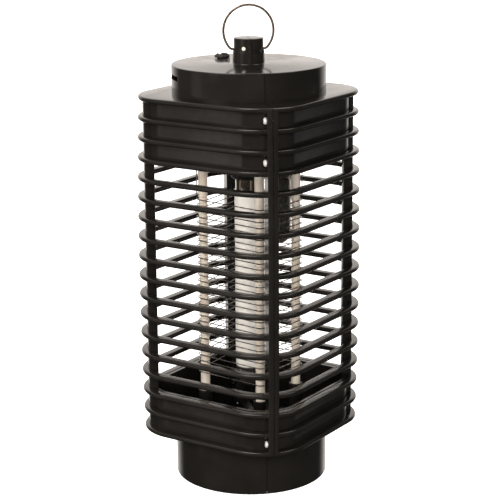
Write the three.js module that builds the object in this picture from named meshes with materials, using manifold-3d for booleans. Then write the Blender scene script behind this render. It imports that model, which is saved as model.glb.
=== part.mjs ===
// A lantern-shaped electric bug zapper: a louvred cage moulded in two halves, a lamp and a
// high-voltage wire grid inside it, the electronics in its head and a collecting tray in its foot.
// Millimetres, +Z up. The origin is the centre of the foot's underside, and the seam between the
// two halves is the vertical plane through the +X -Y and the -X +Y corners.
import * as THREE from "three";
import { mergeVertices } from "three/addons/utils/BufferGeometryUtils.js";
import Module from "manifold-3d";

const wasm = await Module();
wasm.setup();

// Casing
const BASE_RADIUS = 43.8;
const CAP_RADIUS = 43.3;
const CAP_TOP = 240;
const WALL = 2;
const VENT_HALF_ANGLE = 0.24;
const VENT_HEIGHT = 2.6;
const VENT_TOP = 235;
const CAGE_HALF_WIDTH = 52;
const CAGE_CORNER_RADIUS = 26.5;
const CAGE_BULGE = 1.1;
const RING_COUNT = 18;
const RING_PITCH = 11.31;
const TOP_RING_Z = 222.85;
const RING_DEPTH = 5.3;
const RING_HEIGHT = 2.7;
const HEAD_RINGS = 4;
const FOOT_RINGS = 3;
const COMPARTMENT_WALL = 1.8;
const SEAM_GAP = 0.3;
const TOUCH_GAP = 0.3;

// Corner posts and the screws through them
const POST_INSET = 2.5;
const POST_DEPTH = 5.5;
const POST_WIDTH = 5.8;
const SEAM_POST_PROUD = 0.3;
const SEAM_POST_DEPTH = 8.3;
const SCREW_RADIUS = 1.1;
const SCREW_HEAD_RADIUS = 1.9;
const SCREW_HEAD_HEIGHT = 1.4;

// Finial and hanging ring
const INLET_RADIUS = 2.9;
const INLET_COLLAR = 4.4;
const INLET_RISE = 2.2;
const FINIAL_TOP = 254.2;
const FINIAL_RADIUS = 8.3;
const FINIAL_FOOT_RADIUS = 8.9;
const FINIAL_STEP_Z = 246;
const FINIAL_WALL = 1.9;
const PIVOT_Z = 248;
const HANGER_RADIUS = 14.2;
const HANGER_CENTRE_Z = 258.2;
const HANGER_WIRE = 0.7;
const HANGER_BEND = 10.4;
const HANGER_STEPS = 22;

// Lamp, starter and grid
const LAMP_RADIUS = 8.6;
const LAMP_BOTTOM = 50.8;
const LAMP_CAP_BOTTOM = 167.5;
const LAMP_CAP_TOP = 178;
const HOLDER_NECK = 7;
const HOLDER_FLANGE = 10.4;
const STARTER_RADIUS = 6;
const STARTER_OFFSET = 17.9;
const STARTER_BOTTOM = 136;
const STARTER_TOP = 176;
const STARTER_NECK = 4;
const GRID_POST_OFFSET = 26.9;
const GRID_POST_RADIUS = 2.7;
const GRID_POST_BOTTOM = 49;
const GRID_WIRE = 0.35;
const GRID_SPACING = 3.4;
const GRID_TOP = 164;
const GRID_TURNS = 15.5;
const WIRE_CHORD = 1.6;
const LEAD_TOP = 196;

// Lamp plate and electronics
const PLATE_Z = 187.8;
const PLATE_INSET = 8.8;
const PLATE_THICKNESS = 2;
const BOSS_OFFSET = 36;
const BOSS_RADIUS = 3.5;
const BOARD_Z = 198;
const BOARD_THICKNESS = 1.6;
const BOARD_WIDTH = 54;
const BOARD_DEPTH = 40;
const STANDOFFS = [[-22, 13], [22, -13]];
const STANDOFF_RADIUS = 2.6;
const BOSS_HOLE_DEPTH = 9;
const PLATE_HEAD_RADIUS = 2.3;
const PLATE_HEAD_HEIGHT = 1.5;
const BALLAST_HEIGHT = 16;
const STAGE_COUNT = 4;
const STAGE_START = -12;
const STAGE_PITCH = 8;
const STAGE_CAPACITOR_HEIGHT = 9;
const DIODE_RADIUS = 1.35;
const DIODE_LENGTH = 5.2;
const RESISTOR_RADIUS = 1.8;
const RESISTOR_LENGTH = 9;
const TERMINAL_HEIGHT = 10;

// Grid base and tray
const GRID_BASE_THICKNESS = 2.2;
const ARM_LENGTH = 100;
const ARM_WIDTH = 5;
const COLUMN_RADIUS = 4;
const COLUMN_TOP = 50.4;
const TRAY_RADIUS = 41.3;
const TRAY_TOP = 25;
const TRAY_WALL = 1.6;
const TRAY_FLOOR_Z = 7;
const TRAY_BOTTOM = 0.6;

const FLOOR_RING_Z = TOP_RING_Z - (RING_COUNT - 1) * RING_PITCH;
const FLANGE_TOP = FLOOR_RING_Z + RING_HEIGHT / 2;
const PLATE_TOP = PLATE_Z + PLATE_THICKNESS;
const BOARD_TOP = BOARD_Z + BOARD_THICKNESS;
const ON_BOARD = BOARD_TOP + TOUCH_GAP;
const CORNER = Math.PI / 4;
const QUARTERS = [0, 1, 2, 3].map((quarter) => quarter * Math.PI / 2);
const SCREW_HEIGHTS = [0, 2, RING_COUNT - 2].map((index) => ringZ(index) - RING_PITCH / 2);
const SCREW_REACH = cornerReach(0) - SCREW_HEAD_RADIUS - 1;
const INLET_PLACE = around(3 * CORNER + 0.34, 29.5);
const GRID_POSTS = [
  ["front", -CORNER],
  ["right", CORNER],
  ["back", 3 * CORNER],
  ["left", 5 * CORNER],
];
const WIRE_REACH = GRID_POST_OFFSET + GRID_POST_RADIUS + GRID_WIRE + TOUCH_GAP;
const GRID_LEADS = [GRID_POSTS[3], GRID_POSTS[1]].map(([, angle]) => wirePlace(angle, -1));

const PLASTIC = { color: 0x1a1917, roughness: 0.28, metalness: 0 };
const TRAY_PLASTIC = { color: 0x1c1b19, roughness: 0.35, metalness: 0 };
const IVORY = { color: 0xc8beb2, roughness: 0.45, metalness: 0 };
const STEEL = { color: 0xa09a94, roughness: 0.25, metalness: 1 };
const HANGER_STEEL = { color: 0x6e6258, roughness: 0.3, metalness: 1 };
const LAMP_GLASS = { color: 0xdcd6ce, roughness: 0.2, metalness: 0 };
const NICKEL = { color: 0x9c8c78, roughness: 0.2, metalness: 1 };
const RUBBER = { color: 0x151515, roughness: 0.7, metalness: 0 };
const BOARD_GREEN = { color: 0x2c4a2c, roughness: 0.5, metalness: 0 };
const CAPACITOR_RED = { color: 0x8a3a22, roughness: 0.4, metalness: 0 };
const CAPACITOR_YELLOW = { color: 0xb9a04a, roughness: 0.4, metalness: 0 };
const DIODE_BLACK = { color: 0x161616, roughness: 0.4, metalness: 0 };
const RESISTOR_TAN = { color: 0xb89a70, roughness: 0.5, metalness: 0 };

const lantern = new THREE.Group();

// --- Solids ---------------------------------------------------------------------------------

function solidOf(geometry) {
  const bare = geometry.clone();
  bare.deleteAttribute("normal");
  bare.deleteAttribute("uv");
  const merged = mergeVertices(bare, 1e-4);
  const corners = Array.from(merged.index.array);
  const kept = [];
  for (let i = 0; i < corners.length; i += 3) {
    const [a, b, c] = corners.slice(i, i + 3);
    if (a !== b && b !== c && c !== a) {
      kept.push(a, b, c);
    }
  }
  const mesh = new wasm.Mesh({
    numProp: 3,
    vertProperties: new Float32Array(merged.attributes.position.array),
    triVerts: new Uint32Array(kept),
  });
  return new wasm.Manifold(mesh);
}

function geometryOf(solid) {
  const mesh = solid.getMesh();
  const geometry = new THREE.BufferGeometry();
  geometry.setAttribute("position", new THREE.BufferAttribute(mesh.vertProperties, 3));
  geometry.setIndex(new THREE.BufferAttribute(mesh.triVerts, 1));
  geometry.computeVertexNormals();
  return geometry;
}

function join(first, ...others) {
  return others.reduce((sum, solid) => sum.add(solid), first);
}

function cut(first, ...tools) {
  return tools.reduce((rest, solid) => rest.subtract(solid), first);
}

function drum(radius, bottom, top, x = 0, y = 0, sides = 16) {
  const geometry = new THREE.CylinderGeometry(radius, radius, top - bottom, sides);
  geometry.rotateX(Math.PI / 2);
  geometry.translate(x, y, (bottom + top) / 2);
  return solidOf(geometry);
}

function block(width, depth, bottom, top, x = 0, y = 0, turn = 0) {
  const geometry = new THREE.BoxGeometry(width, depth, top - bottom);
  geometry.translate(x, y, (bottom + top) / 2);
  geometry.rotateZ(turn);
  return solidOf(geometry);
}

function turned(profile, sides) {
  const points = profile.map(([radius, z]) => new THREE.Vector2(radius, z));
  const geometry = new THREE.LatheGeometry(points, sides);
  geometry.rotateX(Math.PI / 2);
  return solidOf(geometry);
}

// A rod lying along the seam's normal, through the point at this distance along the seam
function crossRod(radius, from, to, alongSeam, z, sides = 10) {
  const geometry = new THREE.CylinderGeometry(radius, radius, to - from, sides);
  geometry.translate(0, (from + to) / 2, 0);
  geometry.translate(alongSeam, 0, z);
  geometry.rotateZ(-CORNER);
  return solidOf(geometry);
}

function around(angle, reach) {
  return [reach * Math.cos(angle), reach * Math.sin(angle)];
}

function addNode(name, solid, look) {
  const geometry = solid instanceof THREE.BufferGeometry ? solid : geometryOf(solid);
  const mesh = new THREE.Mesh(geometry, new THREE.MeshStandardMaterial(look));
  mesh.name = name;
  lantern.add(mesh);
  return mesh;
}

// --- Casing ---------------------------------------------------------------------------------

function roundedSquare(halfWidth, cornerRadius) {
  const reach = halfWidth - cornerRadius;
  const shape = new THREE.Shape();
  shape.moveTo(halfWidth, -reach);
  shape.lineTo(halfWidth, reach);
  shape.absarc(reach, reach, cornerRadius, 0, Math.PI / 2, false);
  shape.absarc(-reach, reach, cornerRadius, Math.PI / 2, Math.PI, false);
  shape.absarc(-reach, -reach, cornerRadius, Math.PI, 1.5 * Math.PI, false);
  shape.absarc(reach, -reach, cornerRadius, 1.5 * Math.PI, 2 * Math.PI, false);
  return shape;
}

function squareSlab(inset, bottom, top, growth = 0) {
  const shape = roundedSquare(CAGE_HALF_WIDTH + growth - inset, CAGE_CORNER_RADIUS - inset);
  const geometry = new THREE.ExtrudeGeometry(shape, {
    depth: top - bottom,
    bevelEnabled: false,
    curveSegments: 3,
  });
  geometry.translate(0, 0, bottom);
  return solidOf(geometry);
}

function ringZ(index) {
  return TOP_RING_Z - index * RING_PITCH;
}

function ringGrowth(index) {
  const middle = (RING_COUNT - 1) / 2;
  return CAGE_BULGE * (1 - ((index - middle) / middle) ** 2);
}

function louvreRing(index) {
  const bottom = ringZ(index) - RING_HEIGHT / 2;
  const top = bottom + RING_HEIGHT;
  const growth = ringGrowth(index);
  const disc = squareSlab(0, bottom, top, growth);
  if (index === 0 || index === RING_COUNT - 1) {
    return disc;
  }
  return cut(disc, squareSlab(RING_DEPTH, bottom - 1, top + 1, growth));
}

function compartmentWall(bottom, top) {
  const outside = squareSlab(RING_DEPTH, bottom, top);
  return cut(outside, squareSlab(RING_DEPTH + COMPARTMENT_WALL, bottom - 1, top + 1));
}

function cornerReach(inset) {
  const halfWidth = CAGE_HALF_WIDTH - inset;
  const radius = CAGE_CORNER_RADIUS - inset;
  return (halfWidth - radius) * Math.SQRT2 + radius;
}

function sidePost(turn) {
  const middle = cornerReach(POST_INSET) - POST_DEPTH / 2;
  return block(POST_DEPTH, POST_WIDTH, FLOOR_RING_Z, TOP_RING_Z, middle, 0, turn);
}

// A post on the seam, whose outer face follows the rings' barrel shape
function seamPost(turn) {
  const outer = cornerReach(0) + SEAM_POST_PROUD;
  const shape = new THREE.Shape();
  shape.moveTo(outer - SEAM_POST_DEPTH, FLOOR_RING_Z);
  for (let index = RING_COUNT - 1; index >= 0; index -= 1) {
    shape.lineTo(outer + ringGrowth(index) * Math.SQRT2, ringZ(index));
  }
  shape.lineTo(outer - SEAM_POST_DEPTH, TOP_RING_Z);
  const geometry = new THREE.ExtrudeGeometry(shape, { depth: POST_WIDTH, bevelEnabled: false });
  geometry.translate(0, 0, -POST_WIDTH / 2);
  geometry.rotateX(Math.PI / 2);
  geometry.rotateZ(turn);
  return solidOf(geometry);
}

function capAndFinial() {
  const edge = 0.7;
  return turned([
    [0, TOP_RING_Z],
    [CAP_RADIUS, TOP_RING_Z],
    [CAP_RADIUS, CAP_TOP - edge],
    [CAP_RADIUS - edge, CAP_TOP],
    [FINIAL_FOOT_RADIUS, CAP_TOP],
    [FINIAL_FOOT_RADIUS, FINIAL_STEP_Z],
    [FINIAL_RADIUS, FINIAL_STEP_Z + 2],
    [FINIAL_RADIUS, FINIAL_TOP - 0.4],
    [FINIAL_RADIUS - 0.4, FINIAL_TOP],
    [0, FINIAL_TOP],
  ], 48);
}

function headHollow() {
  const low = TOP_RING_Z - RING_HEIGHT;
  return join(
    drum(CAP_RADIUS - WALL, low, CAP_TOP - WALL, 0, 0, 48),
    drum(FINIAL_RADIUS - FINIAL_WALL, CAP_TOP - 2 * WALL, FINIAL_TOP - WALL, 0, 0, 24),
  );
}

function plateBosses() {
  const bottom = PLATE_TOP + TOUCH_GAP;
  return QUARTERS.map((turn) => {
    const [x, y] = around(turn, BOSS_OFFSET);
    const column = drum(BOSS_RADIUS, bottom, CAP_TOP - WALL / 2, x, y, 12);
    const hole = drum(SCREW_RADIUS + TOUCH_GAP, bottom - 1, bottom + BOSS_HOLE_DEPTH, x, y, 10);
    return cut(column, hole);
  });
}

function trayStops() {
  const middle = BASE_RADIUS - WALL - 0.5;
  const low = TRAY_TOP + TOUCH_GAP;
  return QUARTERS.map((turn) => block(2, 5, low, FLOOR_RING_Z, middle, 0, turn));
}

function ventSlot(side) {
  const start = side - VENT_HALF_ANGLE;
  const end = side + VENT_HALF_ANGLE;
  const shape = new THREE.Shape();
  shape.absarc(0, 0, CAP_RADIUS + 2, start, end, false);
  shape.absarc(0, 0, CAP_RADIUS - 2 * WALL, end, start, true);
  const geometry = new THREE.ExtrudeGeometry(shape, {
    depth: VENT_HEIGHT,
    bevelEnabled: false,
    curveSegments: 4,
  });
  geometry.translate(0, 0, VENT_TOP - VENT_HEIGHT);
  return solidOf(geometry);
}

function wholeCasing() {
  const rings = Array.from({ length: RING_COUNT }, (_, index) => louvreRing(index));
  const headBottom = ringZ(HEAD_RINGS - 1) - RING_HEIGHT / 2;
  const footTop = ringZ(RING_COUNT - FOOT_RINGS) + RING_HEIGHT / 2;
  const sidePosts = [1, 5].map((eighth) => sidePost(eighth * CORNER));
  const seamPosts = [3, 7].map((eighth) => seamPost(eighth * CORNER));
  const filled = join(
    ...rings,
    compartmentWall(headBottom, TOP_RING_Z),
    compartmentWall(FLOOR_RING_Z, footTop),
    ...sidePosts,
    ...seamPosts,
    capAndFinial(),
    drum(BASE_RADIUS, 0, FLOOR_RING_Z, 0, 0, 48),
  );
  const hollow = cut(
    filled,
    headHollow(),
    drum(BASE_RADIUS - WALL, -1, FLANGE_TOP + 1, 0, 0, 48),
  );
  const fitted = join(hollow, ...plateBosses(), ...trayStops());
  const holes = [1, -1].flatMap((side) => SCREW_HEIGHTS.map((z) => {
    return crossRod(SCREW_RADIUS + TOUCH_GAP, -8, 8, side * SCREW_REACH, z);
  }));
  return cut(
    fitted,
    ...holes,
    crossRod(HANGER_WIRE + TOUCH_GAP, -12, 12, 0, PIVOT_Z),
    ventSlot(CORNER),
    ventSlot(5 * CORNER),
    drum(INLET_RADIUS + TOUCH_GAP, CAP_TOP - 4, CAP_TOP + 1, ...INLET_PLACE),
  );
}

function addCasing() {
  const whole = wholeCasing();
  const size = 400;
  const offset = (size + SEAM_GAP) / 2;
  addNode("left_shell", whole.intersect(block(size, size, -size, size, 0, -offset, -CORNER)), PLASTIC);
  addNode("right_shell", whole.intersect(block(size, size, -size, size, 0, offset, -CORNER)), PLASTIC);
}

function seamScrew(side, z) {
  const start = -POST_WIDTH / 2 - TOUCH_GAP;
  const reach = side * SCREW_REACH;
  return join(
    crossRod(SCREW_HEAD_RADIUS, start - SCREW_HEAD_HEIGHT, start, reach, z, 12),
    crossRod(SCREW_RADIUS, start - 0.2, POST_WIDTH / 2 - 0.3, reach, z, 8),
  );
}

function addSeamScrews() {
  for (const [end, side] of [["front", 1], ["back", -1]]) {
    SCREW_HEIGHTS.forEach((z, index) => {
      addNode(`${end}_seam_screw_${index + 1}`, seamScrew(side, z), STEEL);
    });
  }
}

// --- Hanging ring ---------------------------------------------------------------------------

// Straight runs between stations, with one cross-section at each station
class StationCurve extends THREE.Curve {
  constructor(stations) {
    super();
    this.stations = stations;
  }

  getUtoTmapping(u) {
    return u;
  }

  getPoint(t, target = new THREE.Vector3()) {
    const place = t * (this.stations.length - 1);
    const index = Math.min(Math.floor(place), this.stations.length - 2);
    return target.lerpVectors(this.stations[index], this.stations[index + 1], place - index);
  }
}

function hangerStations() {
  const drop = Math.acos(HANGER_BEND / HANGER_RADIUS);
  const arc = Array.from({ length: HANGER_STEPS + 1 }, (_, index) => {
    const angle = -drop + (Math.PI + 2 * drop) * index / HANGER_STEPS;
    const x = HANGER_RADIUS * Math.cos(angle);
    return new THREE.Vector3(x, 0, HANGER_CENTRE_Z + HANGER_RADIUS * Math.sin(angle));
  });
  const tuck = FINIAL_RADIUS - FINIAL_WALL - 1;
  const turn = FINIAL_FOOT_RADIUS + 0.3;
  return [
    new THREE.Vector3(tuck, 0, PIVOT_Z),
    new THREE.Vector3(turn, 0, PIVOT_Z),
    ...arc,
    new THREE.Vector3(-turn, 0, PIVOT_Z),
    new THREE.Vector3(-tuck, 0, PIVOT_Z),
  ];
}

function wireSection(radius, sides) {
  const shape = new THREE.Shape();
  const points = Array.from({ length: sides }, (_, index) => {
    const angle = 2 * Math.PI * (index + 0.5) / sides;
    return new THREE.Vector2(radius * Math.cos(angle), radius * Math.sin(angle));
  });
  shape.setFromPoints(points);
  return shape;
}

function wire(stations, radius, sides) {
  return new THREE.ExtrudeGeometry(wireSection(radius, sides), {
    steps: stations.length - 1,
    bevelEnabled: false,
    extrudePath: new StationCurve(stations),
  });
}

function addHangingRing() {
  const geometry = wire(hangerStations(), HANGER_WIRE, 8);
  geometry.rotateZ(CORNER);
  addNode("hanging_ring", solidOf(geometry), HANGER_STEEL);
}

// --- Cord inlet -----------------------------------------------------------------------------

function addCordInlet() {
  const low = CAP_TOP - 3.6;
  const rest = CAP_TOP + TOUCH_GAP;
  const top = CAP_TOP + INLET_RISE;
  const bush = turned([
    [2, low],
    [INLET_RADIUS, low],
    [INLET_RADIUS, rest],
    [INLET_COLLAR, rest],
    [INLET_COLLAR, CAP_TOP + 1.2],
    [INLET_COLLAR - 1, top],
    [2, top],
    [2, low],
  ], 16);
  addNode("cord_inlet_bush", bush, RUBBER).position.set(...INLET_PLACE, 0);
}

// --- Lamp plate, lamp and starter -----------------------------------------------------------

function addLampPlate() {
  const shape = squareSlab(PLATE_INSET, PLATE_Z, PLATE_TOP);
  const standoffs = STANDOFFS.map(([x, y]) => {
    return drum(STANDOFF_RADIUS, PLATE_Z + 1, BOARD_Z - TOUCH_GAP, x, y, 12);
  });
  const standoffHoles = STANDOFFS.map(([x, y]) => {
    return drum(SCREW_RADIUS + TOUCH_GAP, BOARD_Z - 7, BOARD_Z + 1, x, y, 8);
  });
  const screwHoles = QUARTERS.map((turn) => {
    const [x, y] = around(turn, BOSS_OFFSET);
    return drum(SCREW_RADIUS + TOUCH_GAP, PLATE_Z - 1, PLATE_TOP + 1, x, y, 10);
  });
  const sockets = GRID_POSTS.map(([, angle]) => {
    const [x, y] = around(angle, GRID_POST_OFFSET);
    return drum(GRID_POST_RADIUS + TOUCH_GAP, PLATE_Z - 1, PLATE_TOP + 1, x, y, 12);
  });
  const leadHoles = GRID_LEADS.map(([x, y]) => drum(1.2, PLATE_Z - 1, PLATE_TOP + 1, x, y, 8));
  const [starterX, starterY] = around(CORNER, STARTER_OFFSET);
  const plate = cut(
    join(shape, ...standoffs),
    ...standoffHoles,
    ...screwHoles,
    ...sockets,
    ...leadHoles,
    drum(HOLDER_NECK + TOUCH_GAP, PLATE_Z - 1, PLATE_TOP + 1, 0, 0, 24),
    drum(STARTER_NECK + TOUCH_GAP, PLATE_Z - 1, PLATE_TOP + 1, starterX, starterY, 16),
  );
  addNode("lamp_plate", plate, PLASTIC);
}

function addPlateScrews() {
  const under = PLATE_Z - TOUCH_GAP;
  QUARTERS.forEach((turn, index) => {
    const [x, y] = around(turn, BOSS_OFFSET);
    const screw = join(
      drum(PLATE_HEAD_RADIUS, under - PLATE_HEAD_HEIGHT, under, x, y, 12),
      drum(SCREW_RADIUS, under - 0.2, PLATE_TOP + 7, x, y, 8),
    );
    addNode(`plate_screw_${index + 1}`, screw, STEEL);
  });
}

function addLampHolder() {
  const holder = turned([
    [3, PLATE_TOP + 5],
    [3, LAMP_CAP_TOP + 3],
    [LAMP_RADIUS + TOUCH_GAP, LAMP_CAP_TOP + 3],
    [LAMP_RADIUS + TOUCH_GAP, LAMP_CAP_TOP - 3],
    [HOLDER_FLANGE, LAMP_CAP_TOP - 3],
    [HOLDER_FLANGE, PLATE_Z - TOUCH_GAP],
    [HOLDER_NECK, PLATE_Z - TOUCH_GAP],
    [HOLDER_NECK, PLATE_TOP + 5],
    [3, PLATE_TOP + 5],
  ], 24);
  addNode("lamp_holder", holder, PLASTIC);
  const contact = turned([
    [0, LAMP_CAP_TOP + 1.2],
    [1.8, LAMP_CAP_TOP + 1.2],
    [1.8, PLATE_TOP + 6.5],
    [0, PLATE_TOP + 6.5],
  ], 12);
  addNode("lamp_contact", contact, NICKEL);
}

function addLamp() {
  const top = LAMP_CAP_TOP;
  const rim = LAMP_RADIUS - 0.2;
  const cap = turned([
    [0, LAMP_CAP_BOTTOM + 3],
    [rim - 1.1, LAMP_CAP_BOTTOM + 3],
    [rim - 1.1, LAMP_CAP_BOTTOM],
    [rim, LAMP_CAP_BOTTOM],
    [rim, top - 1.4],
    [rim - 1.2, top],
    [2.4, top],
    [2.4, top + 0.8],
    [0, top + 0.8],
  ], 24);
  addNode("lamp_cap", cap, NICKEL);
  const end = 7;
  const dome = Array.from({ length: 6 }, (_, index) => {
    const angle = -Math.PI / 2 + index * Math.PI / 12;
    return [LAMP_RADIUS * Math.cos(angle), LAMP_BOTTOM + end + end * Math.sin(angle)];
  });
  dome[0][0] = 0;
  const neck = rim - 1.1 - TOUCH_GAP;
  const glass = turned([
    ...dome,
    [LAMP_RADIUS, LAMP_BOTTOM + end],
    [LAMP_RADIUS, LAMP_CAP_BOTTOM - 1],
    [neck, LAMP_CAP_BOTTOM - TOUCH_GAP],
    [neck, LAMP_CAP_BOTTOM + 3 - TOUCH_GAP],
    [0, LAMP_CAP_BOTTOM + 3 - TOUCH_GAP],
  ], 24);
  addNode("lamp_glass", glass, LAMP_GLASS);
}

function addStarter() {
  const [x, y] = around(CORNER, STARTER_OFFSET);
  const glass = turned([
    [0, STARTER_BOTTOM],
    [3, STARTER_BOTTOM + 0.8],
    [5.2, STARTER_BOTTOM + 3],
    [STARTER_RADIUS, STARTER_BOTTOM + 6],
    [STARTER_RADIUS, STARTER_TOP],
    [0, STARTER_TOP],
  ], 20);
  addNode("starter_can", glass, STEEL).position.set(x, y, 0);
  const holder = turned([
    [0, STARTER_TOP + TOUCH_GAP],
    [STARTER_RADIUS, STARTER_TOP + TOUCH_GAP],
    [STARTER_RADIUS, PLATE_Z - TOUCH_GAP],
    [STARTER_NECK, PLATE_Z - TOUCH_GAP],
    [STARTER_NECK, PLATE_TOP + 3],
    [0, PLATE_TOP + 3],
  ], 20);
  addNode("starter_holder", holder, PLASTIC).position.set(x, y, 0);
}

// --- High-voltage grid ----------------------------------------------------------------------

// Where a wire passes the post on this corner, arriving (-1) or leaving (+1)
function wirePlace(angle, side) {
  const [x, y] = around(angle, WIRE_REACH);
  const [sideX, sideY] = around(angle + Math.PI / 2, side * WIRE_CHORD);
  return [x + sideX, y + sideY];
}

function helixStations(startAngle) {
  const pitch = 2 * GRID_SPACING;
  const corners = Math.round(GRID_TURNS * 4);
  const stations = [new THREE.Vector3(...wirePlace(startAngle, -1), LEAD_TOP)];
  for (let corner = 0; corner < corners; corner += 1) {
    const angle = startAngle + corner * Math.PI / 2;
    const z = GRID_TOP - corner * pitch / 4;
    stations.push(new THREE.Vector3(...wirePlace(angle, -1), z));
    stations.push(new THREE.Vector3(...wirePlace(angle, 1), z - 0.1));
  }
  return stations;
}

function addGrid() {
  for (const [name, angle] of GRID_POSTS) {
    const [x, y] = around(angle, GRID_POST_OFFSET);
    const post = drum(GRID_POST_RADIUS, GRID_POST_BOTTOM, PLATE_TOP + 2, x, y, 12);
    addNode(`${name}_grid_post`, post, IVORY);
  }
  for (const [name, [, angle]] of [["live", GRID_POSTS[3]], ["return", GRID_POSTS[1]]]) {
    addNode(`${name}_grid_wire`, solidOf(wire(helixStations(angle), GRID_WIRE, 4)), STEEL);
  }
}

function addGridBase() {
  const bottom = FLANGE_TOP + TOUCH_GAP;
  const top = bottom + GRID_BASE_THICKNESS;
  const arms = [CORNER, -CORNER].map((turn) => block(ARM_LENGTH, ARM_WIDTH, bottom, top, 0, 0, turn));
  const places = GRID_POSTS.map(([, angle]) => around(angle, GRID_POST_OFFSET));
  const columns = places.map(([x, y]) => drum(COLUMN_RADIUS, bottom, COLUMN_TOP, x, y, 16));
  const socketRadius = GRID_POST_RADIUS + TOUCH_GAP;
  const socketFloor = GRID_POST_BOTTOM - TOUCH_GAP;
  const sockets = places.map(([x, y]) => drum(socketRadius, socketFloor, COLUMN_TOP + 1, x, y, 12));
  addNode("grid_base", cut(join(...arms, ...columns), ...sockets), PLASTIC);
}

// --- Tray -----------------------------------------------------------------------------------

function addTray() {
  const floorTop = TRAY_FLOOR_Z + TRAY_WALL;
  const outside = drum(TRAY_RADIUS, TRAY_BOTTOM, TRAY_TOP, 0, 0, 48);
  const cup = drum(TRAY_RADIUS - TRAY_WALL, floorTop, TRAY_TOP + 1, 0, 0, 48);
  const recess = drum(TRAY_RADIUS - TRAY_WALL - 1, TRAY_BOTTOM - 1, TRAY_FLOOR_Z, 0, 0, 48);
  const grip = block(2 * TRAY_RADIUS - 5, 4, TRAY_BOTTOM + 0.6, TRAY_FLOOR_Z + 0.5);
  addNode("collecting_tray", join(cut(outside, cup, recess), grip), TRAY_PLASTIC);
}

// --- Electronics ----------------------------------------------------------------------------

function addBoard() {
  const holes = STANDOFFS.map(([x, y]) => {
    return drum(SCREW_RADIUS + TOUCH_GAP, BOARD_Z - 1, BOARD_TOP + 1, x, y, 8);
  });
  const board = cut(block(BOARD_WIDTH, BOARD_DEPTH, BOARD_Z, BOARD_TOP), ...holes);
  addNode("circuit_board", board, BOARD_GREEN);
  STANDOFFS.forEach(([x, y], index) => {
    const screw = join(
      drum(SCREW_HEAD_RADIUS, ON_BOARD, ON_BOARD + SCREW_HEAD_HEIGHT, x, y, 12),
      drum(SCREW_RADIUS, BOARD_TOP - 6, ON_BOARD + 0.2, x, y, 8),
    );
    addNode(`board_screw_${index + 1}`, screw, STEEL);
  });
}

// The stages that multiply the voltage: a capacitor and a diode each
function addStages() {
  for (let index = 0; index < STAGE_COUNT; index += 1) {
    const x = STAGE_START + index * STAGE_PITCH;
    const capacitor = block(5, 10, ON_BOARD, ON_BOARD + STAGE_CAPACITOR_HEIGHT, x, -4);
    addNode(`multiplier_capacitor_${index + 1}`, capacitor, CAPACITOR_RED);
    const diode = new THREE.CylinderGeometry(DIODE_RADIUS, DIODE_RADIUS, DIODE_LENGTH, 10);
    diode.translate(x, -13, ON_BOARD + DIODE_RADIUS + 0.15);
    addNode(`rectifier_diode_${index + 1}`, diode, DIODE_BLACK);
  }
}

function addOtherComponents() {
  const ballast = block(22, 10, ON_BOARD, ON_BOARD + BALLAST_HEIGHT, -7, 11);
  addNode("ballast_capacitor", ballast, CAPACITOR_YELLOW);
  for (const [name, y] of [["bleed_resistor", 4], ["series_resistor", 10]]) {
    const resistor = new THREE.CylinderGeometry(RESISTOR_RADIUS, RESISTOR_RADIUS, RESISTOR_LENGTH, 10);
    resistor.rotateZ(Math.PI / 2);
    resistor.translate(13, y, ON_BOARD + RESISTOR_RADIUS + 0.2);
    addNode(name, resistor, RESISTOR_TAN);
  }
  const terminals = block(7, 14, ON_BOARD, ON_BOARD + TERMINAL_HEIGHT, 22.5, -3);
  addNode("cord_terminal_block", terminals, DIODE_BLACK);
}

addCasing();
addSeamScrews();
addHangingRing();
addCordInlet();
addLampPlate();
addPlateScrews();
addLampHolder();
addLamp();
addStarter();
addGrid();
addGridBase();
addTray();
addBoard();
addStages();
addOtherComponents();

export default lantern;
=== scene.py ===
import math

import bmesh
import bpy
from mathutils import Matrix, Vector


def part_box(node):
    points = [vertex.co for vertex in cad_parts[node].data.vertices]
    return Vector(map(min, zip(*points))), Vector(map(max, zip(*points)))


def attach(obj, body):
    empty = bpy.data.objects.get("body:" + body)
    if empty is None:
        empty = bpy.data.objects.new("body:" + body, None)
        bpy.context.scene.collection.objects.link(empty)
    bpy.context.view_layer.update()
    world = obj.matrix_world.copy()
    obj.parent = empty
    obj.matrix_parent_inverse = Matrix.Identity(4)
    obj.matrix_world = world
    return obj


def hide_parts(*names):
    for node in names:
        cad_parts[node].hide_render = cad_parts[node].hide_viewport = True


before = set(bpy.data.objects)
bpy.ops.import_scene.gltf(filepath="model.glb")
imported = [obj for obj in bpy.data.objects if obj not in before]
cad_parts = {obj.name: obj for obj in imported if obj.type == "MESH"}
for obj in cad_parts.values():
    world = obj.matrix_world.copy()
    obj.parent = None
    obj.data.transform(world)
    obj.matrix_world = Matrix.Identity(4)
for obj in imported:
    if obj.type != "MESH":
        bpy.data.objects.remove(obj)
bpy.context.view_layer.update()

# --- Driving dimensions, metres -------------------------------------------------------------

MM = 0.001
TRAY_LOW, TRAY_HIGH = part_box("collecting_tray")
GLASS_LOW, GLASS_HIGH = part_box("lamp_glass")
CAP_LOW, CAP_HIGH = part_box("lamp_cap")
PLATE_LOW, PLATE_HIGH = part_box("lamp_plate")

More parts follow.
